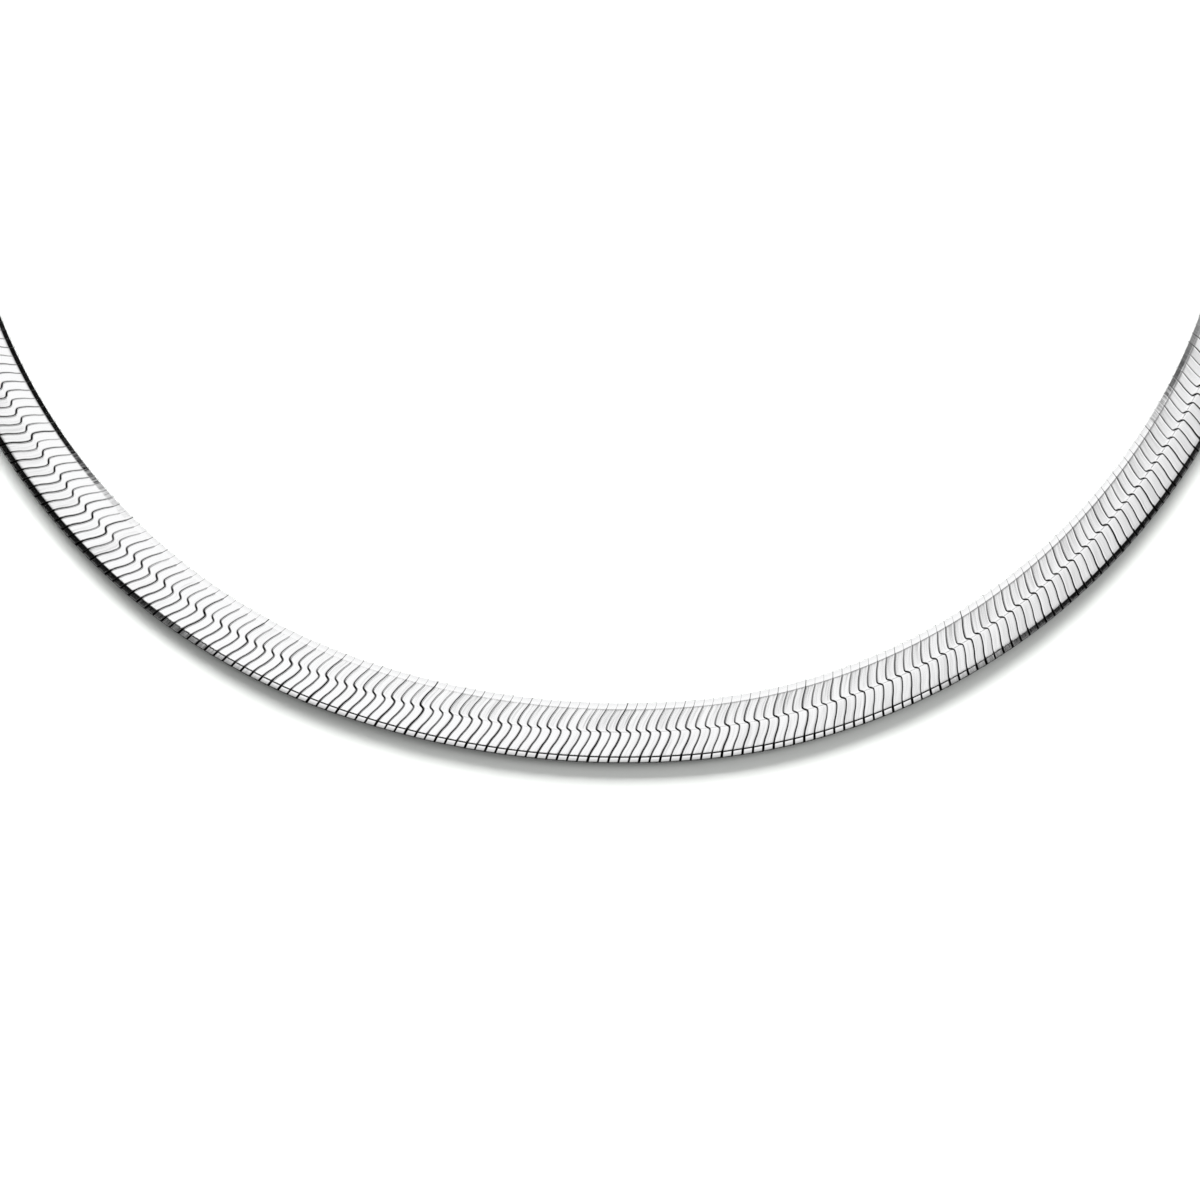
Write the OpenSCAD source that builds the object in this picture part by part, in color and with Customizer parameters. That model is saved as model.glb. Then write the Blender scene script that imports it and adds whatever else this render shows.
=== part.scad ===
// Flat snake chain necklace, closed by a lobster clasp and lying flat.
// The loop lies in the XY plane. Its front is towards -Y, its clasp towards +Y,
// and everything rests on z = 0. The origin is the middle of the base.

/* [Band] */
// Width of the band across both rounded edges
band_w = 6; // [5.4:0.1:6.6]
// Thickness of the band
band_t = 1.3; // [1.1:0.05:1.4]
// Width of one rounded edge, seen from above
bevel_w = 0.62; // [0.4:0.02:0.8]
// Distance from one link to the next along the centre line
link_pitch = 1.01; // [0.95:0.01:1.6]
// Height that the head of a link stands above its tail
link_step = 0.1; // [0.04:0.01:0.14]
// Gap between two links, as a share of the distance between them
link_gap = 0.18; // [0.14:0.02:0.24]

/* [Loop] */
// Radius of the centre line at the front
front_r = 86; // [76:1:96]
// Angle from the middle of the front to the start of each side
front_turn = 12; // [8:1:16]
// Radius of the centre line at the sides
side_r = 63.2; // [60:0.2:67]
// Angle that each side turns through
side_turn = 88; // [84:1:92]
// Length of each end of the band that rises to its cap
rise_l = 18; // [14:1:24]

/* [Clasp] */
// Distance between the two bars that the end caps hook on
clasp_reach = 11.4; // [11:0.2:12.6]
// Thickness of the two bars
bar_d = 1; // [0.9:0.05:1.05]
// Radius of the eye at the tail of the clasp, to the middle of its bar
eye_r = 1.45; // [1.4:0.05:1.6]
// Radius of the hook, to the middle of its bar
hook_r = 2.1; // [2:0.05:2.3]
// Thickness of the body of the clasp
clasp_t = 2.1; // [1.8:0.1:2.4]

/* [End caps] */
// Length of an end cap without its loop
cap_l = 7; // [6.6:0.1:8]
// Thickness of an end cap and diameter of its loop
cap_t = 2.5; // [2.5:0.05:2.7]
// Wall beside the band
cap_wall = 0.4; // [0.3:0.05:0.6]
// Thickness of the wire of the loop
loop_wire = 0.56; // [0.5:0.02:0.6]
// Rounding of the long edges
cap_round = 0.7; // [0.4:0.05:0.8]
// Depth of the pocket that holds the band
pocket_l = 5.4; // [5:0.1:5.6]

/* [Hidden] */
$fn = 48;
// Play between the band and its pocket, and the overlap of soldered parts
slack = 0.1;
solder = 0.12;
nose_round = 1.5;
pocket_round = 0.5;
knob_r = 0.7;
knob_t = 1.2;
tail_half = 0.9;
steel = [0.80, 0.80, 0.82];
bright = [0.88, 0.88, 0.90];

// Along X, from the clasp outwards: bar, loop, nose of the cap, end of the band.
mid_z = cap_t / 2;
bar_x = clasp_reach / 2;
loop_r = (cap_t - loop_wire) / 2;
nose_x = bar_x + loop_r;
cap_w = band_w + 2 * (slack + cap_wall);
cap_end_x = nose_x + cap_l;
end_slack = 1.4;
band_end_x = cap_end_x - pocket_l + end_slack;
straight_x = cap_end_x + 1;
tail_x = eye_r - bar_x + 1.1;
shoulder_x = 0.6;
throat_x = 1.6;

// The right half of the centre line is a front arc, a side arc, a back arc and
// a straight end. The back arc has the radius that brings the ends into line.
turn_2 = front_turn + side_turn;
side_c = [(front_r - side_r) * sin(front_turn), front_r - (front_r - side_r) * cos(front_turn)];
back_r = side_r + (side_c[0] - straight_x) / sin(turn_2);
back_c = side_c + (side_r - back_r) * [sin(turn_2), -cos(turn_2)];
back_h = back_c[1] + back_r;
front_end = arc_length(front_r, front_turn);
side_end = front_end + arc_length(side_r, side_turn);
back_end = side_end + arc_length(back_r, 180 - turn_2);
band_half = back_end + straight_x - band_end_x;

// The loop reaches from the outer edge of the front to the back of the caps.
front_y = -(back_h + cap_w / 2 - band_w / 2) / 2;
back_y = front_y + back_h;

links = round(band_half / link_pitch);
pitch = band_half / links;
band_lift = mid_z - band_t / 2;

// Corners of a link across the band, from the outer edge over the top. Each half
// of the seam leans the same way, and a short jog joins them near the middle.
// The lag is how far the corner runs ahead along the band, in pitches, and
// the drop says which way the tail of the link is smaller: [across, up].
ACROSS = 0;
UP = 1;
LAG = 2;
DROP = 3;
edge = band_w / 2;
rim = edge - bevel_w;
jog_at = 0.025 * band_w;
jog_half = 0.05 * band_w;
lobe_half = 0.22 * band_w;
corners = [
    [-edge, band_t / 2, -0.93, [0.6, 0]],
    [-rim, band_t, -0.76, [0, -1]],
    [jog_at - lobe_half, band_t, -0.15, [0, -1]],
    [jog_at - jog_half, band_t, 0.2, [0, -1]],
    [jog_at + jog_half, band_t, -0.2, [0, -1]],
    [jog_at + lobe_half, band_t, 0.15, [0, -1]],
    [rim, band_t, 0.65, [0, -1]],
    [edge, band_t / 2, 0.85, [-0.6, 0]],
    [rim, 0, 0.65, [0, 0]],
    [-rim, 0, -0.76, [0, 0]]
];
sides = len(corners);
base_in = sides - 2;
base_out = sides - 1;
middle = 4;

// An end face, as fans of triangles from its two base corners
end_face = concat(
    [for (i = [0 : middle - 1]) [base_out, i, i + 1]],
    [[base_out, middle, base_in]],
    [for (i = [middle : base_in - 2]) [base_in, i, i + 1]]
);

function arc_length(r, angle) = r * angle * PI / 180;

function arc_angle(r, l) = l / r * 180 / PI;

// Direction of the centre line at a distance s > 0 right of the middle front
function turn_at(s) =
    s < front_end ? arc_angle(front_r, s) :
    s < side_end ? front_turn + arc_angle(side_r, s - front_end) :
    s < back_end ? turn_2 + arc_angle(back_r, s - side_end) : 180;

function on_arc(centre, r, turn) = centre + r * [sin(turn), -cos(turn)];

// Place of the centre line there, from the middle of the front
function place_at(s) =
    s < front_end ? on_arc([0, front_r], front_r, turn_at(s)) :
    s < side_end ? on_arc(side_c, side_r, turn_at(s)) :
    s < back_end ? on_arc(back_c, back_r, turn_at(s)) :
    [straight_x - (s - back_end), back_h];

// A point of the band: s along it, with the left half negative, across it
// with the inside positive, and up from the base
function band_point(s, across, up) =
    let (
        half = s < 0 ? -1 : 1,
        turn = turn_at(abs(s)),
        p = place_at(abs(s)) + across * [-sin(turn), cos(turn)]
    )
    [half * p[0], front_y + p[1], up + lift_at(abs(s))];

// The band lies on the base and rises smoothly to the height of its pocket.
function lift_at(s) =
    let (
        u = (s - (band_half - pocket_l - rise_l)) / rise_l,
        v = max(0, min(1, u))
    )
    band_lift * v * v * (3 - 2 * v);

// One end of a link: the tail is smaller than the head by the link step
function ring(s, is_tail) = [
    for (c = corners)
        let (drop = is_tail ? link_step * c[DROP] : [0, 0])
        band_point(s + c[LAG] * pitch, c[ACROSS] + drop[0], c[UP] + drop[1])
];

// A run of links from number a to number b as one closed band of scales
module links_between(a, b) {
    rings = [
        for (k = [a : b - 1])
            for (is_tail = [true, false])
                ring((k + (is_tail ? link_gap / 2 : 1 - link_gap / 2)) * pitch, is_tail)
    ];
    last = (len(rings) - 1) * sides;
    walls = [
        for (r = [0 : len(rings) - 2])
            for (i = [0 : sides - 1])
                let (
                    p = r * sides + i,
                    q = r * sides + (i + 1) % sides
                )
                each [[p, q, q + sides], [p, q + sides, p + sides]]
    ];
    tail_face = [for (f = end_face) [f[0], f[2], f[1]]];
    head_face = [for (f = end_face) [last + f[0], last + f[1], last + f[2]]];
    polyhedron([for (r = rings) each r], concat(tail_face, walls, head_face));
}

module chain_left() {
    color(bright) links_between(-links, 0);
}

module chain_right() {
    color(bright) links_between(0, links);
}

// Rectangle with round corners, centred on both axes
module round_rect(w, h, r) {
    square([w - 2 * r, h], center = true);
    square([w, h - 2 * r], center = true);
    for (x = [-1, 1], y = [-1, 1])
        translate([x * (w / 2 - r), y * (h / 2 - r)]) circle(r);
}

// Bar of round section along X with a round-cornered section w by h
module section_bar(l, w, h, r) {
    rotate([90, 0, 90]) linear_extrude(l) round_rect(w, h, r);
}

// Closed wire loop that stands in the plane of the band's direction
module standing_loop() {
    rotate([90, 0, 0]) rotate_extrude() translate([loop_r, 0]) circle(loop_wire / 2);
}

// Plan of a cap from its nose at x = 0. It runs past the mouth, so only the nose is round.
module cap_plan() {
    past_mouth = 4;
    translate([(cap_l + past_mouth) / 2, 0]) round_rect(cap_l + past_mouth, cap_w, nose_round);
}

// Crimped cap, with the middle of its loop at x = 0 and its mouth towards +X
module cap() {
    translate([0, 0, mid_z]) {
        translate([loop_r - solder, 0, 0]) difference() {
            intersection() {
                section_bar(cap_l + solder, cap_w, cap_t, cap_round);
                translate([0, 0, -cap_t / 2]) linear_extrude(cap_t) cap_plan();
            }
            translate([cap_l + solder - pocket_l, 0, 0])
                section_bar(2 * pocket_l, band_w + 2 * slack, band_t + 2 * slack, pocket_round);
        }
        standing_loop();
    }
}

module end_cap_right() {
    color(steel) translate([bar_x, back_y, 0]) cap();
}

module end_cap_left() {
    color(steel) mirror([1, 0, 0]) translate([bar_x, back_y, 0]) cap();
}

// Round bar bent through an angle in the plane of the loop
module bent_bar(r, from, to) {
    rotate(from) rotate_extrude(angle = to - from) translate([r, 0]) circle(bar_d / 2);
}

// Plan of the body: a shield that narrows to the tail and opens to the hook
module body_plan() {
    outer = hook_r + bar_d / 2;
    inner = hook_r - bar_d / 2;
    difference() {
        union() {
            polygon([
                [tail_x, -tail_half], [shoulder_x, -outer], [throat_x, -outer],
                [throat_x, outer], [shoulder_x, outer], [tail_x, tail_half]
            ]);
            translate([tail_x, 0]) circle(tail_half);
        }
        translate([throat_x, 0]) circle(inner);
    }
}

// Closed lobster clasp in one piece, with its lever shut and its thumb knob
module lobster_clasp() {
    hook_x = bar_x - hook_r;
    color(steel) translate([0, back_y, mid_z]) {
        translate([eye_r - bar_x, 0, 0]) bent_bar(eye_r, 0, 360);
        translate([hook_x, 0, 0]) bent_bar(hook_r, -90, 90);
        for (side = [-1, 1])
            translate([shoulder_x, side * hook_r, 0]) rotate([0, 90, 0])
                cylinder(h = hook_x - shoulder_x, d = bar_d);
        translate([0, 0, -clasp_t / 2]) linear_extrude(clasp_t) body_plan();
        translate([shoulder_x, hook_r + bar_d / 2, 0])
            cylinder(h = knob_t, r = knob_r, center = true);
    }
}

chain_left();
chain_right();
end_cap_left();
end_cap_right();
lobster_clasp();
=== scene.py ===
import math
import random

import bmesh
import bpy
import numpy as np
from mathutils import Matrix, Vector


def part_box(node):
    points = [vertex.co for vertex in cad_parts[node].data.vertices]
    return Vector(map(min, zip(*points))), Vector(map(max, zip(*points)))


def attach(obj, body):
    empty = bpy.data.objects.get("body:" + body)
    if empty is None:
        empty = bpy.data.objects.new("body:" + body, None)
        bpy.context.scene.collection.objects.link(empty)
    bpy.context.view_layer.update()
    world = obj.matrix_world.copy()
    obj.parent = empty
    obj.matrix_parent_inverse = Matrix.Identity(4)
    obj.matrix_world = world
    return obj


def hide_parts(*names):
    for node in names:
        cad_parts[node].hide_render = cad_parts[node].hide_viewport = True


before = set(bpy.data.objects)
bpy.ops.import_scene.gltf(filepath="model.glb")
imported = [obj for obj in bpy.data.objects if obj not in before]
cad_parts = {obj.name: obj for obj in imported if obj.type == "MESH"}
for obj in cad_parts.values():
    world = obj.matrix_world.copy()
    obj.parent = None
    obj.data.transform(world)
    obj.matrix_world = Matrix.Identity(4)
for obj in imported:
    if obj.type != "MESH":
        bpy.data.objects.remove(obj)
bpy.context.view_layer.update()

MM = 0.001
SEED = 7

# Driving sizes of the band, its loop, the caps and the clasp, in millimetres, as in the frame
BAND_W = 6.0
BAND_T = 1.3
LINKS = 192
FRONT_R = 86.0
FRONT_TURN = math.radians(12)
SIDE_R = 63.2
SIDE_TURN = math.radians(88)
RISE = 18.0
POCKET = 5.4
END_SLACK = 1.4
CAP_L = 7.0
CAP_T = 2.5
CAP_W = 7.0
LOOP_WIRE = 0.56
BAR_D = 1.0
BAR_X = 5.7
EYE_R = 1.45
HOOK_R = 2.1

# The photo's frame: 1200 px square, its scale, and how far it is turned and moved
PHOTO_PX = 1200
PX_PER_MM = 9.83
PHOTO_TURN = math.radians(7.2)
FRONT_TO_PHOTO = Vector((6.545, 13.779))
CAMERA_HEIGHT = 2.4
SENSOR = 36.0


def millimetres(node):
    """Lowest and highest corner of a frame node, in millimetres."""
    low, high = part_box(node)
    return Vector(low) / MM, Vector(high) / MM


FRONT_Y = millimetres("chain_left")[0].y + BAND_W / 2
BACK_Y = (millimetres("end_cap_right")[0].y + millimetres("end_cap_right")[1].y) / 2
MID_Z = CAP_T / 2
LOOP_R = (CAP_T - LOOP_WIRE) / 2
CAP_END_X = BAR_X + LOOP_R + CAP_L
# How far out of its cap the band's straight end starts
STRAIGHT_OUT = 1.0


class Route:
    """Centre line of the band's right half: front arc, side arc, back arc and a straight end."""

    def __init__(self):
        self.straight_x = CAP_END_X + STRAIGHT_OUT
        self.turn_2 = FRONT_TURN + SIDE_TURN
        self.side_c = self.beyond((0.0, FRONT_R), FRONT_R - SIDE_R, FRONT_TURN)
        self.back_r = SIDE_R + (self.side_c[0] - self.straight_x) / math.sin(self.turn_2)
        self.back_c = self.beyond(self.side_c, SIDE_R - self.back_r, self.turn_2)
        self.front_end = FRONT_R * FRONT_TURN
        self.side_end = self.front_end + SIDE_R * SIDE_TURN
        self.back_end = self.side_end + self.back_r * (math.pi - self.turn_2)
        band_end_x = CAP_END_X - POCKET + END_SLACK
        self.half = self.back_end + self.straight_x - band_end_x

    @staticmethod
    def beyond(centre, distance, turn):
        """A point at a distance from a centre, along the direction that faces the arc."""
        return (centre[0] + distance * math.sin(turn), centre[1] - distance * math.cos(turn))

    def at(self, s):
        """Place, direction and height of the centre line at s, with the left half negative."""
        u = abs(s)
        if u < self.front_end:
            turn = u / FRONT_R
            x, y = self.beyond((0.0, FRONT_R), FRONT_R, turn)
        elif u < self.side_end:
            turn = FRONT_TURN + (u - self.front_end) / SIDE_R
            x, y = self.beyond(self.side_c, SIDE_R, turn)
        elif u < self.back_end:
            turn = self.turn_2 + (u - self.side_end) / self.back_r
            x, y = self.beyond(self.back_c, self.back_r, turn)
        else:
            turn = math.pi
            x, y = self.straight_x - (u - self.back_end), self.back_c[1] + self.back_r
        side = -1 if s < 0 else 1
        return side * x, FRONT_Y + y, side * turn, self.lift(u)

    def lift(self, u):
        """Height that the band has risen towards the pocket of its cap."""
        t = min(1.0, max(0.0, (u - (self.half - POCKET - RISE)) / RISE))
        return (MID_Z - BAND_T / 2) * t * t * (3 - 2 * t)


ROUTE = Route()
PITCH = ROUTE.half / LINKS


def smooth(value, low, high):
    """0 below low, 1 above high, and a smooth step between."""
    t = min(1.0, max(0.0, (value - low) / (high - low)))
    return t * t * (3 - 2 * t)


# Materials

SILVER = (0.93, 0.93, 0.935)
SILVER_SHADE = (0.88, 0.88, 0.885)
# Black for the seams and rims of the links: painted shade and painted dark reflection
PAINTED_SHADE_BLACK = (0.012, 0.012, 0.012)
PAPER = (0.63, 0.645, 0.63)
PAPER_SHADE = (0.61, 0.625, 0.61)

# Patterns on the links: scale along a link, across the band and from link to link
LINK_LINES = (14.0, 0.5, 1.0)
LINK_WAVES = (2.2, 0.35, 1.7)
LINE_CONTRAST = (0.35, 0.75)
# Roughness of the links where they are bright, and what the lines and the painted shade add
LINK_ROUGH = 0.06
LINES_ROUGH = 0.06
PAINTED_SHADE_ROUGH = 0.25
# Height of the links' lines against their waves, and the height of all in millimetres
LINES_HEIGHT = 0.25
LINK_BUMP = 0.008

# Cast silver: patterns to the metre, roughness, and heights as above
CAST_WAVES = 900.0
CAST_SCRATCHES = (900.0, 9000.0, 4000.0)
CAST_ROUGH = 0.08
SCRATCHES_ROUGH = 0.12
SCRATCHES_HEIGHT = 0.2
CAST_BUMP = 0.01

PAPER_TOOTH = 2500.0
PAPER_ROUGH = 0.9


class Nodes:
    """Short calls for the nodes of one material or world."""

    def __init__(self, tree):
        self.tree = tree
        tree.nodes.clear()

    def add(self, kind, **values):
        node = self.tree.nodes.new(kind)
        for name, value in values.items():
            setattr(node, name, value)
        return node

    def link(self, source, target):
        self.tree.links.new(source, target)

    def put(self, socket, value):
        """Links a socket, or sets it to a plain value."""
        if isinstance(value, bpy.types.NodeSocket):
            self.link(value, socket)
        else:
            socket.default_value = value

    def math(self, operation, a, b=0.0):
        node = self.add("ShaderNodeMath", operation=operation)
        self.put(node.inputs[0], a)
        self.put(node.inputs[1], b)
        return node.outputs[0]

    def ramp(self, value, low, high, out_low=0.0, out_high=1.0):
        """Smooth step of a value from low to high."""
        node = self.add("ShaderNodeMapRange", interpolation_type="SMOOTHSTEP")
        self.put(node.inputs["Value"], value)
        node.inputs["From Min"].default_value = low
        node.inputs["From Max"].default_value = high
        node.inputs["To Min"].default_value = out_low
        node.inputs["To Max"].default_value = out_high
        return node.outputs["Result"]

    def noise(self, vector, scale, detail):
        node = self.add("ShaderNodeTexNoise")
        self.put(node.inputs["Vector"], vector)
        node.inputs["Scale"].default_value = scale
        node.inputs["Detail"].default_value = detail
        return node.outputs["Fac"]

    def stretch(self, vector, scale):
        """A vector scaled by a different amount on each axis."""
        node = self.add("ShaderNodeMapping")
        self.put(node.inputs["Vector"], vector)
        node.inputs["Scale"].default_value = scale
        return node.outputs["Vector"]


def new_material(name):
    material = bpy.data.materials.new(name)
    material.use_nodes = True
    return material, Nodes(material.node_tree)


def metal(nodes, colour, roughness, height, bump_mm):
    """Polished metal shader with a linked colour and roughness, and a bump."""
    shader = nodes.add("ShaderNodeBsdfPrincipled")
    shader.inputs["Metallic"].default_value = 1.0
    nodes.put(shader.inputs["Base Color"], colour)
    nodes.put(shader.inputs["Roughness"], roughness)
    bump = nodes.add("ShaderNodeBump")
    bump.inputs["Distance"].default_value = bump_mm * MM
    bump.inputs["Strength"].default_value = 1.0
    nodes.put(bump.inputs["Height"], height)
    nodes.link(bump.outputs["Normal"], shader.inputs["Normal"])
    output = nodes.add("ShaderNodeOutputMaterial")
    nodes.link(shader.outputs["BSDF"], output.inputs["Surface"])


def colour_between(nodes, factor, first, second):
    """A colour that goes from the first to the second as the factor goes from 0 to 1."""
    node = nodes.add("ShaderNodeMix", data_type="RGBA")
    colour_a, colour_b, result = node.inputs[6], node.inputs[7], node.outputs[2]
    nodes.put(node.inputs["Factor"], factor)
    colour_a.default_value = (*first, 1.0)
    colour_b.default_value = (*second, 1.0)
    return result


def chain_metal():
    """Polished silver with polishing lines along each link, and black painted shade in its seams
    and along its rims.
    """
    material, nodes = new_material("chain_silver")
    place = nodes.add("ShaderNodeAttribute", attribute_name="on_link").outputs["Vector"]
    lines = nodes.noise(nodes.stretch(place, LINK_LINES), scale=1.0, detail=3.0)
    waves = nodes.noise(nodes.stretch(place, LINK_WAVES), scale=1.0, detail=1.0)
    # Painted shade: this mark turns the metal black in the seams and along the rims
    painted_shade = nodes.add("ShaderNodeAttribute", attribute_name="painted_shade").outputs["Fac"]
    grain = nodes.ramp(lines, *LINE_CONTRAST)
    roughness = nodes.math("ADD", nodes.math("MULTIPLY", grain, LINES_ROUGH), LINK_ROUGH)
    roughness = nodes.math("ADD", roughness, nodes.math("MULTIPLY", painted_shade, PAINTED_SHADE_ROUGH))
    # Painted shade: the silver goes to black where the mark is full
    colour = colour_between(nodes, painted_shade, SILVER, PAINTED_SHADE_BLACK)
    height = nodes.math("ADD", nodes.math("MULTIPLY", lines, LINES_HEIGHT), waves)
    metal(nodes, colour, roughness, height, LINK_BUMP)
    return material


def cast_metal():
    """Polished cast silver with faint waviness and fine scratches."""
    material, nodes = new_material("cast_silver")
    place = nodes.add("ShaderNodeTexCoord").outputs["Object"]
    waves = nodes.noise(place, scale=CAST_WAVES, detail=2.0)
    scratches = nodes.noise(nodes.stretch(place, CAST_SCRATCHES), scale=1.0, detail=4.0)
    roughness = nodes.math("ADD", nodes.math("MULTIPLY", scratches, SCRATCHES_ROUGH), CAST_ROUGH)
    colour = colour_between(nodes, waves, SILVER_SHADE, SILVER)
    height = nodes.math("ADD", nodes.math("MULTIPLY", scratches, SCRATCHES_HEIGHT), waves)
    metal(nodes, colour, roughness, height, CAST_BUMP)
    return material


def floor_paper():
    """Matt white paper with a trace of tooth."""
    material, nodes = new_material("white_paper")
    place = nodes.add("ShaderNodeTexCoord").outputs["Object"]
    tooth = nodes.noise(place, scale=PAPER_TOOTH, detail=3.0)
    shader = nodes.add("ShaderNodeBsdfPrincipled")
    nodes.link(colour_between(nodes, tooth, PAPER_SHADE, PAPER), shader.inputs["Base Color"])
    shader.inputs["Roughness"].default_value = PAPER_ROUGH
    output = nodes.add("ShaderNodeOutputMaterial")
    nodes.link(shader.outputs["BSDF"], output.inputs["Surface"])
    return material


# Camera, light and floor

CLIP_START = 0.01
FLOOR_HALF = 3.0
FLOOR_DROP = 0.05 * MM
STRIP_AWAY = 1.5

# Soft boxes of the studio: azimuth, half width, low and high elevation and softness of the
# edge in degrees, then strength
SOFTBOXES = {
    "back_card": (95, 54, -5, 74, 4, 1.05),
    "front_card": (-89.5, 32, -12, 43, 7, 1.0),
    "left_card": (178, 23, 5, 60, 5, 0.4),
    "right_card": (-4, 21, 5, 60, 5, 0.4),
    "low_wall": (0, 190, -5, 16.5, 4, 0.85),
}
# The upper wall all round, and the dark gap between it and the front card, in the same terms
HIGH_WALL = (0, 190, 51, 70, 4, 0.4)
FRONT_GAP = (-91, 36, 50, 74, 3, 1.2)
AMBIENT = 0.004

# The overhead panel: its lowest elevation, its soft edge below and above that, its strength,
# and the sides to which it fades, each as azimuth, share of light that is left, and how far
# out the fade starts and ends
OVERHEAD_LOW = 61
OVERHEAD_EDGE = (0.03, 0.02)
OVERHEAD_LIGHT = 1.06
OVERHEAD_FADES = [(144, 0.27, 0.03, 0.17), (-30, 0.63, 0.03, 0.16)]

# Strip lights low over the paper: azimuth, elevation, width and height in metres, and power
STRIPS = {
    "back_strip": (94, 22.5, 2.0, 0.5, 130),
    "right_strip": (16, 30, 0.6, 0.45, 9),
}


def make_camera():
    """Looks straight down, as the photo does, with the photo's crop and turn."""
    data = bpy.data.cameras.new("camera")
    camera = bpy.data.objects.new("camera", data)
    bpy.context.scene.collection.objects.link(camera)
    target = Vector((FRONT_TO_PHOTO.x, FRONT_Y + FRONT_TO_PHOTO.y, BAND_T)) * MM
    camera.location = target + Vector((0, 0, CAMERA_HEIGHT))
    camera.rotation_euler = (0, 0, PHOTO_TURN)
    data.sensor_width = SENSOR
    data.lens = SENSOR * CAMERA_HEIGHT / (PHOTO_PX / PX_PER_MM * MM)
    data.clip_start = CLIP_START
    bpy.context.scene.camera = camera


def sky_from(nodes, azimuth):
    """Direction in the sky, with X turned to an azimuth in the photo's plane."""
    coordinates = nodes.add("ShaderNodeTexCoord")
    turned = nodes.add("ShaderNodeVectorRotate", rotation_type="Z_AXIS")
    nodes.link(coordinates.outputs["Generated"], turned.inputs["Vector"])
    turned.inputs["Angle"].default_value = -(math.radians(azimuth) + PHOTO_TURN)
    split = nodes.add("ShaderNodeSeparateXYZ")
    nodes.link(turned.outputs["Vector"], split.inputs["Vector"])
    return split


def overhead(nodes):
    """Light from the round panel overhead, which fades to two of its sides."""
    edge = math.sin(math.radians(OVERHEAD_LOW))
    below, above = OVERHEAD_EDGE
    height = sky_from(nodes, 0).outputs["Z"]
    light = nodes.ramp(height, edge - below, edge + above, 0.0, OVERHEAD_LIGHT)
    for azimuth, left, start, end in OVERHEAD_FADES:
        fade = nodes.ramp(sky_from(nodes, azimuth).outputs["X"], start, end, 1.0, left)
        light = nodes.math("MULTIPLY", light, fade)
    return light


def softbox(nodes, azimuth, half, low, high, soft, strength):
    """Light from a box of the sky, with its azimuth in the photo's plane."""
    split = sky_from(nodes, azimuth)
    aside = nodes.math("ABSOLUTE", nodes.math("ARCTAN2", split.outputs["Y"], split.outputs["X"]))
    up = nodes.math("ARCSINE", split.outputs["Z"])
    soft, half, low, high = (math.radians(v) for v in (soft, half, low, high))
    across = nodes.ramp(aside, half - soft, half + soft, 1.0, 0.0)
    above = nodes.ramp(up, low - soft, low + soft)
    below = nodes.ramp(up, high - soft, high + soft, 1.0, 0.0)
    mask = nodes.math("MULTIPLY", across, nodes.math("MULTIPLY", above, below))
    return nodes.math("MULTIPLY", mask, strength)


def studio_light(nodes):
    """Strength of the studio's light: the panel overhead, the walls and the soft boxes."""
    light = nodes.math("ADD", overhead(nodes), AMBIENT)
    light = nodes.math("MAXIMUM", light, softbox(nodes, *HIGH_WALL))
    light = nodes.math("SUBTRACT", light, softbox(nodes, *FRONT_GAP))
    light = nodes.math("MAXIMUM", light, AMBIENT)
    for box in SOFTBOXES.values():
        light = nodes.math("MAXIMUM", light, softbox(nodes, *box))
    return light


def background(nodes, strength):
    """White background light of a strength."""
    light = nodes.add("ShaderNodeBackground")
    light.inputs["Color"].default_value = (1, 1, 1, 1)
    nodes.put(light.inputs["Strength"], strength)
    return light


def make_world():
    """The studio, where the camera itself sees plain white."""
    world = bpy.data.worlds.new("studio")
    bpy.context.scene.world = world
    world.use_nodes = True
    nodes = Nodes(world.node_tree)
    studio = background(nodes, studio_light(nodes))
    white = background(nodes, 1.0)
    path = nodes.add("ShaderNodeLightPath")
    mix = nodes.add("ShaderNodeMixShader")
    nodes.link(path.outputs["Is Camera Ray"], mix.inputs["Fac"])
    nodes.link(studio.outputs["Background"], mix.inputs[1])
    nodes.link(white.outputs["Background"], mix.inputs[2])
    output = nodes.add("ShaderNodeOutputWorld")
    nodes.link(mix.outputs["Shader"], output.inputs["Surface"])
    bpy.context.scene.view_settings.view_transform = "Standard"


def make_strip(name, azimuth, elevation, width, height, power):
    """A soft strip light for the paper, kept out of the metal's reflections."""
    data = bpy.data.lights.new(name, "AREA")
    data.shape = "RECTANGLE"
    data.size = width
    data.size_y = height
    data.energy = power
    strip = bpy.data.objects.new(name, data)
    bpy.context.scene.collection.objects.link(strip)
    around = math.radians(azimuth) + PHOTO_TURN
    up = math.radians(elevation)
    level = math.cos(up)
    away = Vector((level * math.cos(around), level * math.sin(around), math.sin(up)))
    strip.location = away * STRIP_AWAY
    strip.rotation_euler = away.to_track_quat("Z", "Y").to_euler()
    strip.visible_glossy = False


def make_floor():
    """A sheet of white paper, just under the lowest link."""
    mesh = bpy.data.meshes.new("floor")
    sides = [(-1, -1), (1, -1), (1, 1), (-1, 1)]
    corners = [(x * FLOOR_HALF, y * FLOOR_HALF, 0) for x, y in sides]
    mesh.from_pydata(corners, [], [(0, 1, 2, 3)])
    floor = bpy.data.objects.new("floor", mesh)
    floor.location.z = -FLOOR_DROP
    mesh.materials.append(floor_paper())
    bpy.context.scene.collection.objects.link(floor)


# The links, in millimetres

# Gap between two links, with what is added at the jog of the seam and at the band's rims
SEAM_GAP = 0.045
JOG_GAP = 0.085
OUTER_GAP = 0.042
INNER_GAP = -0.02
JOG_GAP_W = 0.22

# Rounding of a seam's edges, with what is added at the rims, and its most as a share of the
# half thickness
SEAM_ROUND = 0.053
OUTER_ROUND = -0.013
INNER_ROUND = -0.041
MOST_ROUND = 0.5

# Top of a link: drop of its crest, how its crown falls off, and the crease along the jogs
CREST_DROP = 0.003
CROWN_POWER = 1.15
GROOVE = 0.006
GROOVE_W = 0.065

# Half the height of the play between a link's upper plate and the next link's lower plate
LAYER_PLAY = 0.03
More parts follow.
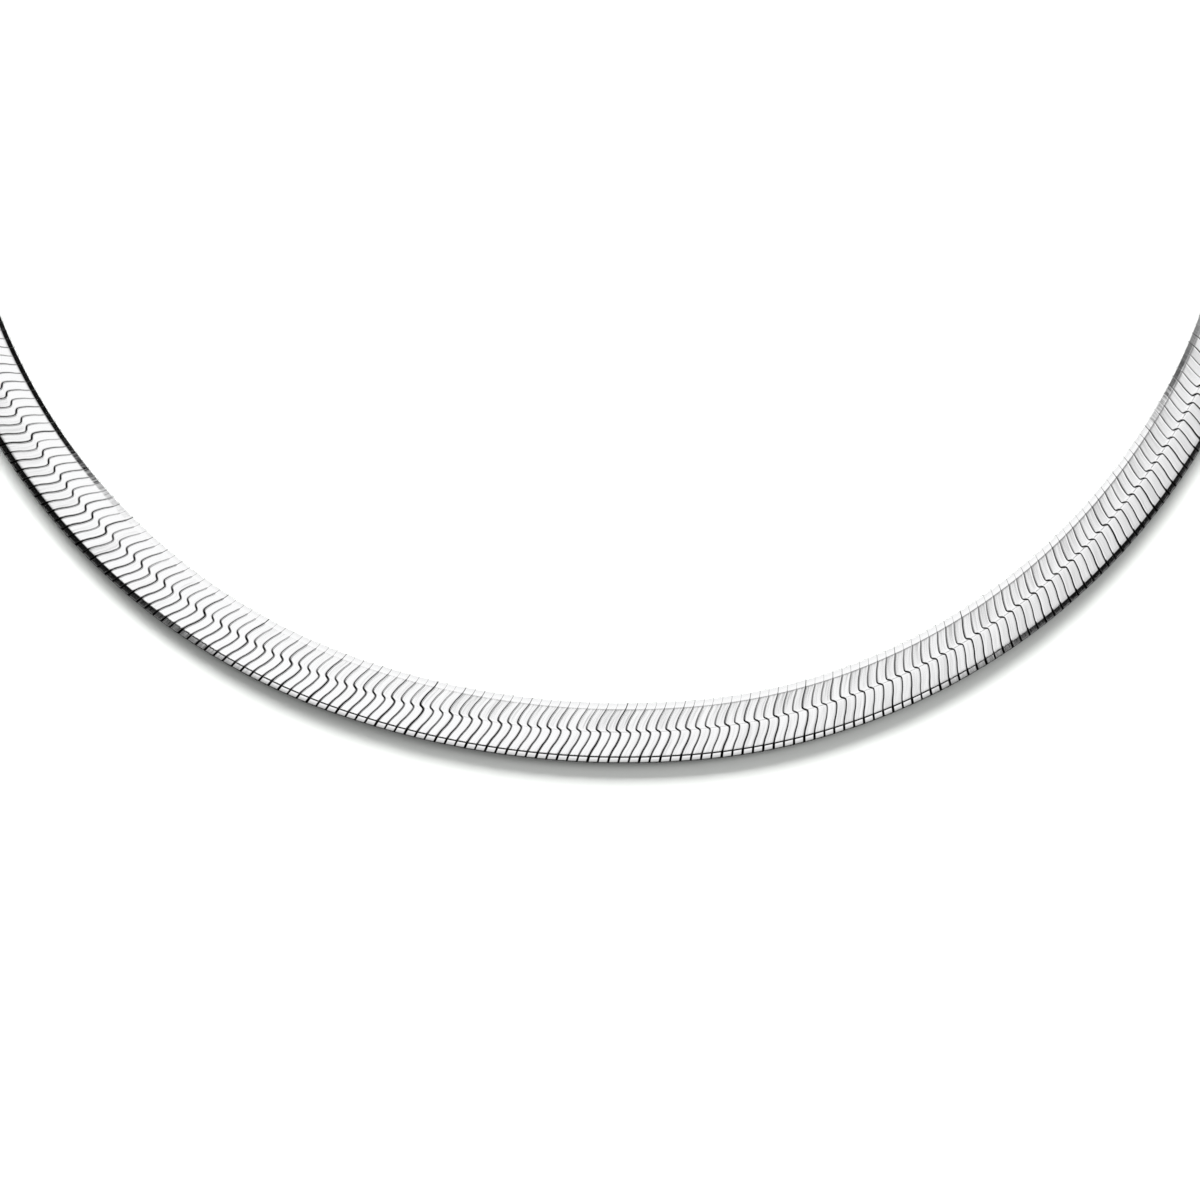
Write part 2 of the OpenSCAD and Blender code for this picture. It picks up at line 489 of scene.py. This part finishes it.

# Distances in from a rim at which a zone starts and is full: the rim itself, the part whose
# gap is measured straight along the band, the painted shade of the bevel, and the flare
RIM_ZONE = (0.75, 0.5)
STRAIGHT_ZONE = (1.2, 0.6)
BEVEL_ZONE = (0.12, 0.03)
FLARE_ZONE = (0.42, 0.0)

# Painted shade in a seam and how it fades towards the face, and that of the two bevels, painted
# dark reflection at their rims
SEAM_PAINTED_SHADE = 0.92
PAINTED_SHADE_FADE = 0.6
OUTER_RIM_PAINTED_SHADE = 1.0
INNER_RIM_PAINTED_SHADE = 0.2

# Share of the face, from its ends, at which its first points lie, and how much less it is
# at the rims
FACE_START = 0.12
FACE_START_LESS = 0.09
# Share of the polishing lines that a rounding takes up, and their shift from link to link
ROUND_SHARE = 0.06
LINES_SHIFT = 3.7

# Changes along the band: the most by which the lean and the gap are less and the flare is
# more, and the places on the route where the change starts and ends
LEAN_LESS = (0.28, 0.0, 75.0)
GAP_LESS = (0.15, 10.0, 50.0)
FLARE = (0.09, 28.0, 40.0)

# Spread of the links about their true places, along and up, then yaw, climb and roll in
# degrees, and the reach over which a link's true climb is read
SPREAD_ALONG = 0.013
SPREAD_UP = 0.004
SPREAD_YAW = 0.2
SPREAD_CLIMB = 0.25
SPREAD_ROLL = 0.14
CLIMB_REACH = 0.5

# How strongly large faces lead the smooth normals of the links
LINK_FACE_WEIGHT = 80

# Half of the seam from the middle of its jog: distance across the band as a share of
# its width, run of the jog and run of the lean, both as shares of the pitch
SEAM = [
    (0.0, 0.0, 0.0),
    (0.018, -0.14, 0.0),
    (0.036, -0.205, 0.0),
    (0.060, -0.215, 0.01),
    (0.090, -0.21, 0.05),
    (0.125, -0.20, 0.12),
    (0.225, -0.20, 0.41),
    (0.325, -0.20, 0.79),
    (0.425, -0.20, 1.07),
    (0.525, -0.20, 1.25),
]
JOG_AT = 0.025


def slopes(xs, ys):
    """Slopes at the points of a curve, as the mean of the slopes beside each."""
    steps = [(ys[i + 1] - ys[i]) / (xs[i + 1] - xs[i]) for i in range(len(xs) - 1)]
    return [steps[0]] + [(a + b) / 2 for a, b in zip(steps, steps[1:])] + [steps[-1]]


def curve(xs, ys):
    """A smooth curve through points, as a function."""
    ms = slopes(xs, ys)

    def value(x):
        x = min(max(x, xs[0]), xs[-1])
        i = min(int(np.searchsorted(xs, x, side="right")) - 1, len(xs) - 2)
        width = xs[i + 1] - xs[i]
        t = (x - xs[i]) / width
        a, b = ms[i] * width, ms[i + 1] * width
        low, high = ys[i], ys[i + 1]
        return (
            low * (1 + 2 * t) * (1 - t) ** 2 + high * t * t * (3 - 2 * t)
            + a * t * (1 - t) ** 2 - b * t * t * (1 - t)
        )

    return value


JOG_RUN = curve([row[0] for row in SEAM], [row[1] for row in SEAM])
LEAN_RUN = curve([row[0] for row in SEAM], [row[2] for row in SEAM])


def seam(across, lean):
    """How far a seam runs ahead along the band at a place across it."""
    w = across / BAND_W - JOG_AT
    side = -1 if w < 0 else 1
    return side * PITCH * (JOG_RUN(abs(w)) + lean * LEAN_RUN(abs(w)))


def near_rim(inwards, start, full):
    """0 further in than start, and 1 nearer to the rim than full, at a place across the band."""
    return smooth(inwards, BAND_W / 2 - start, BAND_W / 2 - full)


# Bevelled edge of the band: distance in from the edge and half thickness there
EDGE = [
    (-0.06, 0.04),
    (-0.048, 0.13),
    (-0.01, 0.215),
    (0.08, 0.275),
    (0.42, 0.471),
    (0.46, 0.495),
    (0.54, 0.522),
    (0.58, 0.531),
    (0.64, 0.539),
    (0.74, 0.547),
    (0.84, 0.5525),
]
EDGE_W = EDGE[-1][0]


def half_thickness(across):
    """Half the thickness of a link at a place across the band."""
    inset = BAND_W / 2 - abs(across)
    if inset < EDGE_W:
        return float(np.interp(inset, [row[0] for row in EDGE], [row[1] for row in EDGE]))
    reach = BAND_W / 2 - EDGE_W
    crest = BAND_T / 2 - CREST_DROP
    crown = (crest - EDGE[-1][1]) * abs(across / reach) ** CROWN_POWER
    crease = GROOVE * math.exp(-((across - JOG_AT * BAND_W) / GROOVE_W) ** 2)
    return crest - crown - crease


# Sections beside the jog: distance from its middle as a share of the band's width, and the
# least distance that they keep from the sections of the edges
JOG_SECTIONS = [
    0.0, 0.009, 0.018, 0.028, 0.038, 0.05, 0.065,
    0.085, 0.11, 0.145, 0.19, 0.24, 0.29, 0.335,
]
EDGE_CLEAR = 0.12


def stations():
    """Places across the band at which a link has a section."""
    edge = [row[0] - BAND_W / 2 for row in EDGE]
    half = [w * BAND_W for w in JOG_SECTIONS]
    middle = JOG_AT * BAND_W
    inner = sorted({middle + w for w in half} | {middle - w for w in half})
    limit = BAND_W / 2 - EDGE_W - EDGE_CLEAR
    inner = [a for a in inner if abs(a) < limit]
    return edge + inner + [-a for a in reversed(edge)]


STATIONS = stations()

# Section of a link's edges, above and below: share of the rounding inwards from the wall
# and down from the face. Then the step over which a seam's slope is read
ROUNDING = [(0.0, 1.0), (0.12, 0.52), (0.45, 0.14), (1.0, 0.0)]
UNDER_ROUNDING = [(0.0, 1.0), (1.0, 0.0)]
SLOPE_STEP = 0.004


def seam_edge(across, gap):
    """Gap and rounding of a seam: wider at its jog and outer rim, and tighter at its inner rim."""
    outer = near_rim(-across, *RIM_ZONE)
    inner = near_rim(across, *RIM_ZONE)
    jog = math.exp(-((across - JOG_AT * BAND_W) / JOG_GAP_W) ** 2)
    gap += jog * JOG_GAP + outer * OUTER_GAP + inner * INNER_GAP
    return gap, SEAM_ROUND + outer * OUTER_ROUND + inner * INNER_ROUND


def away_from_seam(across, lean):
    """Step along and across the band that leads a millimetre away from the seam at a place.

    Near the rims it leads along the band only, so that the sections stay apart there."""
    rise = seam(across + SLOPE_STEP, lean) - seam(across - SLOPE_STEP, lean)
    slope = rise / (2 * SLOPE_STEP)
    length = math.hypot(1.0, slope)
    square = 1 - near_rim(abs(across), *STRAIGHT_ZONE)
    return square / length + (1 - square) * length, -slope / length * square


def link_section(across, lean, gap):
    """Points of a link at one place across the band: (along, across, up, share, painted shade)."""
    lag = seam(across, lean)
    ahead, aside = away_from_seam(across, lean)
    gap, rounding = seam_edge(across, gap)
    rounding = min(rounding, half_thickness(across) * MOST_ROUND)
    # Painted shade along the rims: black at the outer rim, a light grey at the inner one
    side = OUTER_RIM_PAINTED_SHADE if across < 0 else INNER_RIM_PAINTED_SHADE
    side *= near_rim(abs(across), *BEVEL_ZONE)
    rim = near_rim(abs(across), *RIM_ZONE)

    def beside(edge_at, sign, inset):
        """Along and across, for a point beside the seam at edge_at."""
        shift = sign * (gap / 2 + inset)
        return edge_at + lag + shift * ahead, across + shift * aside

    def play(edge_at, sign, up, share):
        """A point on a wall of the seam, between the upper and the lower plate."""
        # The seam's walls get full painted shade
        return (*beside(edge_at, sign, 0), up, share, SEAM_PAINTED_SHADE)

    def rounded(edge_at, sign, layer, share, steps):
        """Points of a rounded edge, from the wall onto the face of a layer."""
        rows = []
        for inset, drop in steps:
            along, aside_at = beside(edge_at, sign, inset * rounding)
            up = layer * (half_thickness(aside_at) - drop * rounding)
            # Painted shade: black on the seam's walls, fading over the rounding, and full at the
            # rims
            painted_dark = max(side, (1 - rim) * SEAM_PAINTED_SHADE * drop ** PAINTED_SHADE_FADE + rim)
            rows.append((along, aside_at, up, share + sign * ROUND_SHARE * inset, painted_dark))
        return rows

    half = PITCH / 2
    tail = rounded(-half, 1, 1, -0.5, ROUNDING)
    head = rounded(half, -1, 1, 0.5, ROUNDING)
    near = FACE_START - FACE_START_LESS * rim
    face = [between(tail[-1], head[-1], t, side) for t in (near, 1 / 3, 2 / 3, 1 - near)]
    under_head = rounded(0, -1, -1, 0.0, UNDER_ROUNDING)
    under_tail = rounded(-2 * half, 1, -1, -1.0, UNDER_ROUNDING)
    return (
        [play(-half, 1, -LAYER_PLAY, -0.5)] + tail + face + head[::-1]
        + [play(half, -1, LAYER_PLAY, 0.5), play(0, -1, LAYER_PLAY, 0.0)]
        + under_head + under_tail[::-1] + [play(-2 * half, 1, -LAYER_PLAY, -1.0)]
    )


def between(a, b, t, painted_shade):
    """A point of the face between two points of a section, at its own height, with the painted
    shade given.
    """
    along, across, _, share, _ = (p + (q - p) * t for p, q in zip(a, b))
    return along, across, half_thickness(across), share, painted_shade


def link_form(s):
    """All sections of the link at s as an array of (along, across, up, share, painted shade)."""
    form = np.array([link_section(a, lean_at(s), gap_at(s)) for a in STATIONS])
    flare = [flare_at(s) * near_rim(-a, *FLARE_ZONE) for a in STATIONS]
    form[:, :, 1] -= np.array(flare)[:, None]
    return form


def lean_at(s):
    """Share of the full lean of the seams, which is most on the left and least on the right."""
    less, start, end = LEAN_LESS
    return 1.0 - less * smooth(s, start, end)


def gap_at(s):
    """Gap of the seams, which are a little tighter on the left of the photo."""
    less, start, end = GAP_LESS
    return SEAM_GAP * (1 - less * smooth(-s, start, end))


def flare_at(s):
    """How far the outer rim stands out, which it does on the left of the photo."""
    most, start, end = FLARE
    return most * smooth(-s, start, end)


def link_faces(count, sections):
    """Quads round a link between its sections, and its two end faces."""
    faces = []
    for j in range(sections - 1):
        for i in range(count):
            a = j * count + i
            b = j * count + (i + 1) % count
            faces.append((a, b, b + count, a + count))
    last = (sections - 1) * count
    ends = [tuple(reversed(range(count))), tuple(range(last, last + count))]
    return faces, ends


def link_move(k, rng):
    """Place of link k: on the route, a little off true as a worn chain's links are."""
    s = middle_of(k) + rng.gauss(0, SPREAD_ALONG)
    x, y, turn, lift = ROUTE.at(s)
    rise = ROUTE.at(s + CLIMB_REACH)[3] - ROUTE.at(s - CLIMB_REACH)[3]
    slope = math.atan(rise / (2 * CLIMB_REACH))
    place = Matrix.Translation((x, y, lift + BAND_T / 2 + rng.gauss(0, SPREAD_UP)))
    spin = Matrix.Rotation(turn + math.radians(rng.gauss(0, SPREAD_YAW)), 4, "Z")
    climb = Matrix.Rotation(-slope + math.radians(rng.gauss(0, SPREAD_CLIMB)), 4, "Y")
    roll = Matrix.Rotation(math.radians(rng.gauss(0, SPREAD_ROLL)), 4, "X")
    return place @ spin @ climb @ roll


def middle_of(k):
    """Where on the route the middle of link k lies."""
    return (k + 0.5) * PITCH


def make_link(k, rng):
    """Link k: its points in place in metres, its faces, and its points' marks and painted shade.
    """
    form = link_form(middle_of(k))
    sections, count, _ = form.shape
    flat = form.reshape(-1, 5)
    move = np.array(link_move(k, rng))
    placed = np.hstack([flat[:, :3], np.ones((len(flat), 1))]) @ move.T
    sides, ends = link_faces(count, sections)
    marks = np.column_stack([flat[:, 3], flat[:, 1], np.full(len(flat), k * LINES_SHIFT)])
    return placed[:, :3] * MM, sides + ends, marks, flat[:, 4]


def mark_points(mesh, name, kind, field, values):
    """Stores a value for each point of a mesh, from one array to the link."""
    data = mesh.attributes.new(name, kind, "POINT").data
    data.foreach_set(field, np.concatenate(values).astype(np.float32).ravel())


def make_links(name, first, last, node, rng):
    """Links first to last - 1 as one joined piece that stands for its half of the band."""
    points, faces, marks, painted_shade = [], [], [], []
    for k in range(first, last):
        link_points, link_sides, link_marks, link_painted_shade = make_link(k, rng)
        base = len(points) * len(link_points)
        faces += [tuple(base + i for i in face) for face in link_sides]
        points.append(link_points)
        marks.append(link_marks)
        painted_shade.append(link_painted_shade)
    mesh = bpy.data.meshes.new(name)
    mesh.from_pydata(np.concatenate(points).tolist(), [], faces)
    mark_points(mesh, "on_link", "FLOAT_VECTOR", "vector", marks)
    # Painted shade of each point, which colours the seams and rims black
    mark_points(mesh, "painted_shade", "FLOAT", "value", painted_shade)
    mesh.shade_smooth()
    piece = bpy.data.objects.new(name, mesh)
    bpy.context.scene.collection.objects.link(piece)
    weights = piece.modifiers.new("face_weights", "WEIGHTED_NORMAL")
    weights.keep_sharp = False
    weights.weight = LINK_FACE_WEIGHT
    mesh.materials.append(CHAIN_METAL)
    finish_piece(piece, node)


# The end caps and the clasp, drawn in millimetres round (0, BACK_Y, MID_Z) and then placed

AHEAD, ASIDE, UP = Vector((1, 0, 0)), Vector((0, 1, 0)), Vector((0, 0, 1))
SHARP_ANGLE = math.radians(40)

# Cap: how far its solder reaches into it, the roundings of its corners, nose and lip, the
# bevel and corners of its pocket and the band's slack in it, and the steps of two roundings
SOLDER = 0.12
CAP_ROUND = 0.7
NOSE_ROUND = 1.5
NOSE_EDGE = 0.35
LIP_ROUND = 0.15
LIP_BEVEL = 0.08
POCKET_ROUND = 0.5
SLACK = 0.1
NOSE_STEPS = 8
LIP_STEPS = 5

# Bead of solder: how far it reaches out, its half width and half height, and the angles of
# its rings in degrees
BEAD = (0.17, 0.42, 0.8)
BEAD_TURN = 84
BEAD_STEP = 12

# Clasp: its thickness, the middles of the arcs of its ring, and the steps along the ring
BODY_T = 2.1
THROAT_X = 1.6
HOOK_X = BAR_X - HOOK_R
ARC_STEPS = 24
STRAIGHT_STEPS = 10

# Places along X between which the ring thickens to the body and thins again, and how much
# squarer it is there
THICKENS = (-2.4, 0.0)
THINS = (1.2, 2.6)
SQUARER = 0.8

# Knob of the lever: its place, radius and height, and its rings as shares of those
KNOB_AT = Vector((0.6, 2.6, 0))
KNOB_R = 0.7
KNOB_T = 1.2
KNOB = [(-1, 0.75), (-0.9, 0.92), (-0.65, 1.0), (0.65, 1.0), (0.9, 0.92), (1, 0.75)]

# Lines of the shut lever: where its tip meets the ring, the round of its root and of its
# pivot, each within its own part of the clasp, with their depth and width, and a distance
# beyond any line
TIP_X = 3.45
TIP_ABOVE = 1.2
ROOT_AT = Vector((1.05, 1.2))
ROOT_R = 1.25
ROOT_BEFORE = 1.9
ROOT_ABOVE = 0.4
PIVOT_AT = Vector((1.0, 2.1))
PIVOT_R = 0.38
LINE_DEPTH = 0.05
LINE_W = 0.07
FAR = 9.0

# Mesh of the clasp: step, squareness and points of the body's rings, and its smoothing
BODY_STEP = 0.25
BODY_POWER = 3.0
BODY_SIDES = 48
VOXEL = 0.06
SMOOTHING = 0.5
SMOOTHINGS = 10

# Body of the clasp from its tail to its throat: place along X, half width, half thickness
BODY = [
    (-3.75, 0.5, 0.5),
    (-3.15, 0.85, 0.75),
    (-2.3, 1.25, 0.98),
    (-1.2, 1.75, 1.05),
    (-0.15, 2.15, 1.05),
]

# Centre line of a shoulder, from inside the body to the straight of the hook
SHOULDER = [(-1.4, 1.15), (-0.45, 1.57), (0.35, 1.93), (0.9, 2.1), (1.9, 2.1)]


def oval(place, out, up, a, b, power=2.0, steps=24):
    """Ring round a place: radius a along out and b along up, and squarer at a higher power."""
    ring = []
    for i in range(steps):
        angle = 2 * math.pi * i / steps
        c, s = math.cos(angle), math.sin(angle)
        c = math.copysign(abs(c) ** (2 / power), c)
        s = math.copysign(abs(s) ** (2 / power), s)
        ring.append(place + out * (a * c) + up * (b * s))
    return ring


def round_rect(x, a, b, r, steps=7):
    """Ring across X: a rectangle a wide and b high each way, with its corners rounded by r."""
    ring = []
    for quarter, (side, top) in enumerate([(1, 1), (-1, 1), (-1, -1), (1, -1)]):
        for i in range(steps + 1):
            angle = (quarter + i / steps) * math.pi / 2
            y = side * (a - r) + r * math.cos(angle)
            ring.append(Vector((x, y, top * (b - r) + r * math.sin(angle))))
    return ring


def loft(name, rings, closed=False):
    """A solid through rings of points, with end faces unless it closes on itself."""
    sides, ends = link_faces(len(rings[0]), len(rings))
    if closed:
        count, last = len(rings[0]), (len(rings) - 1) * len(rings[0])
        ends = [(last + i, last + (i + 1) % count, (i + 1) % count, i) for i in range(count)]
    mesh = bpy.data.meshes.new(name)
    mesh.from_pydata([p for ring in rings for p in ring], [], sides + ends)
    form = bmesh.new()
    form.from_mesh(mesh)
    bmesh.ops.recalc_face_normals(form, faces=form.faces)
    form.to_mesh(mesh)
    form.free()
    solid = bpy.data.objects.new(name, mesh)
    bpy.context.scene.collection.objects.link(solid)
    return solid


def torus(name, centre, radius, wire, u, v, steps=64):
    """Round wire bent to a circle in the plane of u and v."""
    turns = [2 * math.pi * i / steps for i in range(steps)]
    outs = [u * math.cos(t) + v * math.sin(t) for t in turns]
    rings = [oval(centre + out * radius, out, u.cross(v), wire, wire) for out in outs]
    return loft(name, rings, True)


def applied(solid, kind, **values):
    """The solid with one modifier worked into its mesh."""
    modifier = solid.modifiers.new(kind, kind)
    for name, value in values.items():
        setattr(modifier, name, value)
    bpy.context.view_layer.update()
    graph = bpy.context.evaluated_depsgraph_get()
    mesh = bpy.data.meshes.new_from_object(solid.evaluated_get(graph))
    solid.modifiers.clear()
    solid.data = mesh


def unite(solid, others):
    """The solid and others as one mesh, with the shapes still apart where they overlap."""
    form = bmesh.new()
    for part in (solid, *others):
        form.from_mesh(part.data)
    form.to_mesh(solid.data)
    form.free()
    for other in others:
        bpy.data.objects.remove(other)


def solder(solid, others):
    """Others joined to the solid by exact unions, one after the other."""
    for other in others:
        applied(solid, "BOOLEAN", operation="UNION", object=other, solver="EXACT")
        bpy.data.objects.remove(other)


def place_form(solid, side=1):
    """Moves a form drawn in millimetres to its place; side -1 turns it to face the other way."""
    move = Matrix.Translation((0, BACK_Y * MM, MID_Z * MM)) @ Matrix.Scale(MM, 4)
    if side < 0:
        move = move @ Matrix.Rotation(math.pi, 4, "Z")
    solid.data.transform(move)
    solid.data.shade_smooth()
    solid.data.set_sharp_from_angle(angle=SHARP_ANGLE)
    weights = solid.modifiers.new("face_weights", "WEIGHTED_NORMAL")
    weights.keep_sharp = True
    solid.data.materials.append(CAST_METAL)


def cap_rings():
    """Rings of a cap from its nose over its outside to the lip, then down into its pocket."""
    a, b = CAP_W / 2, CAP_T / 2
    rings = []
    for i in range(NOSE_STEPS + 1):
        x = NOSE_ROUND * (1 - math.cos(math.radians(90 * i / NOSE_STEPS)))
        high = max(0.0, NOSE_EDGE - x)
        inset = NOSE_ROUND - math.sqrt(NOSE_ROUND ** 2 - (NOSE_ROUND - x) ** 2)
        drop = NOSE_EDGE - math.sqrt(NOSE_EDGE ** 2 - high ** 2)
        rings.append(round_rect(x, a - inset, b - drop, CAP_ROUND))
    length = CAP_L + SOLDER
    for i in range(LIP_STEPS + 1):
        t = math.radians(90 * i / LIP_STEPS)
        x = length - LIP_ROUND * (1 - math.sin(t))
        lip = LIP_ROUND * (1 - math.cos(t))
        rings.append(round_rect(x, a - lip, b - lip, CAP_ROUND - lip))
    a, b = BAND_W / 2 + SLACK, BAND_T / 2 + SLACK
    rings.append(round_rect(length, a + LIP_BEVEL, b + LIP_BEVEL, POCKET_ROUND + LIP_BEVEL))
    rings.append(round_rect(length - LIP_BEVEL, a, b, POCKET_ROUND))
    rings.append(round_rect(length - POCKET, a, b, POCKET_ROUND))
    return rings


def bead_rings():
    """Rings of the bead of solder between a cap and its loop."""
    reach, wide, high = BEAD
    rings = []
    for degrees in range(-BEAD_TURN, BEAD_TURN + 1, BEAD_STEP):
        t = math.radians(degrees)
        place = AHEAD * (LOOP_R - SOLDER + reach * math.sin(t))
        rings.append(oval(place, ASIDE, UP, wide * math.cos(t), high * math.cos(t)))
    return rings


def make_cap(side, name, node):
    """Crimped cap with the band in its pocket and a soldered wire loop at its nose."""
    cap = loft(name, cap_rings())
    cap.data.transform(Matrix.Translation((LOOP_R - SOLDER, 0, 0)))
    loop = torus("loop", Vector(), LOOP_R, LOOP_WIRE / 2, AHEAD, UP)
    bead = loft("bead", bead_rings())
    solder(cap, [bead, loop])
    cap.data.transform(Matrix.Translation((BAR_X, 0, 0)))
    place_form(cap, side)
    finish_piece(cap, node)


def throat_path():
    """Centre line of the ring round the clasp's throat: place and direction outwards."""
    path = []
    for start, side, arc_x, next_x in ((-90, 1, HOOK_X, THROAT_X), (90, -1, THROAT_X, HOOK_X)):
        for i in range(ARC_STEPS + 1):
            t = math.radians(start + 180 / ARC_STEPS * i)
            out = Vector((math.cos(t), math.sin(t), 0))
            path.append((Vector((arc_x, 0, 0)) + out * HOOK_R, out))
        for i in range(1, STRAIGHT_STEPS):
            x = arc_x + (next_x - arc_x) * i / STRAIGHT_STEPS
            path.append((Vector((x, side * HOOK_R, 0)), ASIDE * side))
    return path


def shoulder_path(side):
    """Centre line of one shoulder: place and direction outwards."""
    places = [Vector((x, side * y, 0)) for x, y in SHOULDER]
    steps = [b - a for a, b in zip(places, places[1:])]
    runs = [steps[0]] + [a + b for a, b in zip(steps, steps[1:])] + [steps[-1]]
    return [(p, Vector((-run.y, run.x, 0)).normalized() * side) for p, run in zip(places, runs)]


def clasp_tube(name, path, closed=False):
    """Tube of the hook along a path, which is as thick as the body by the shoulders."""
    wire = BAR_D / 2
    rings = []
    for place, out in path:
        near = smooth(place.x, *THICKENS)
        beyond = smooth(place.x, *THINS)
        thick = wire + (BODY_T / 2 - wire) * near * (1 - beyond)
        rings.append(oval(place, out, UP, wire, thick, 2.0 + SQUARER * (thick - wire)))
    return loft(name, rings, closed)


def clasp_groove(p):
    """Depth of the lines of the shut lever and of the round of its pivot, at a point."""
    tip = root = FAR
    if p.y > TIP_ABOVE:
        tip = abs(p.x - TIP_X)
    if p.x < ROOT_BEFORE and p.y > ROOT_ABOVE:
        root = abs((p.to_2d() - ROOT_AT).length - ROOT_R)
    pivot = abs((p.to_2d() - PIVOT_AT).length - PIVOT_R)
    return LINE_DEPTH * max(math.exp(-(d / LINE_W) ** 2) for d in (tip, root, pivot))


def clasp_body():
    """Body of the clasp, from its tail to its throat."""
    rows = curve_rows(BODY, BODY_STEP)
    rings = [oval(AHEAD * x, ASIDE, UP, a, b, BODY_POWER, BODY_SIDES) for x, a, b in rows]
    return loft("clasp_form", rings)


def clasp_knob():
    """Thumb knob of the lever."""
    rings = []
    for high, wide in KNOB:
        place = KNOB_AT + UP * (high * KNOB_T / 2)
        rings.append(oval(place, AHEAD, ASIDE, KNOB_R * wide, KNOB_R * wide))
    return loft("knob", rings)


def make_clasp():
    """Closed lobster clasp in one piece, with the lines of its lever."""
    clasp = clasp_body()
    ring = clasp_tube("ring", throat_path(), True)
    shoulders = [clasp_tube("shoulder", shoulder_path(side)) for side in (-1, 1)]
    eye = torus("eye", AHEAD * (EYE_R - BAR_X), EYE_R, BAR_D / 2, AHEAD, ASIDE)
    unite(clasp, [ring, *shoulders, eye, clasp_knob()])
    applied(clasp, "REMESH", mode="VOXEL", voxel_size=VOXEL)
    applied(clasp, "SMOOTH", factor=SMOOTHING, iterations=SMOOTHINGS)
    normals = [vertex.normal.copy() for vertex in clasp.data.vertices]
    for vertex, normal in zip(clasp.data.vertices, normals):
        vertex.co -= normal * clasp_groove(vertex.co)
    place_form(clasp)
    finish_piece(clasp, "lobster_clasp")


def curve_rows(table, step):
    """Rows of a table read as smooth curves at even steps of its first column."""
    xs = [row[0] for row in table]
    curves = [curve(xs, [row[i] for row in table]) for i in (1, 2)]
    count = round((xs[-1] - xs[0]) / step)
    places = [xs[0] + (xs[-1] - xs[0]) * i / count for i in range(count + 1)]
    return [(x, curves[0](x), curves[1](x)) for x in places]


def finish_piece(piece, node):
    """What each piece tells the frame: it rides on the root, and replaces a node."""
    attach(piece, "root")
    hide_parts(node)


def make_chain():
    """Both halves of the chain, each as two pieces."""
    rng = random.Random(SEED)
    half = LINKS // 2
    make_links("links_left_back", -LINKS, -half, "chain_left", rng)
    make_links("links_left_front", -half, 0, "chain_left", rng)
    make_links("links_right_front", 0, half, "chain_right", rng)
    make_links("links_right_back", half, LINKS, "chain_right", rng)


make_camera()
make_world()
for strip_name, sizes in STRIPS.items():
    make_strip(strip_name, *sizes)
make_floor()
CHAIN_METAL = chain_metal()
CAST_METAL = cast_metal()
make_clasp()
make_cap(1, "cap_form_right", "end_cap_right")
make_cap(-1, "cap_form_left", "end_cap_left")
make_chain()
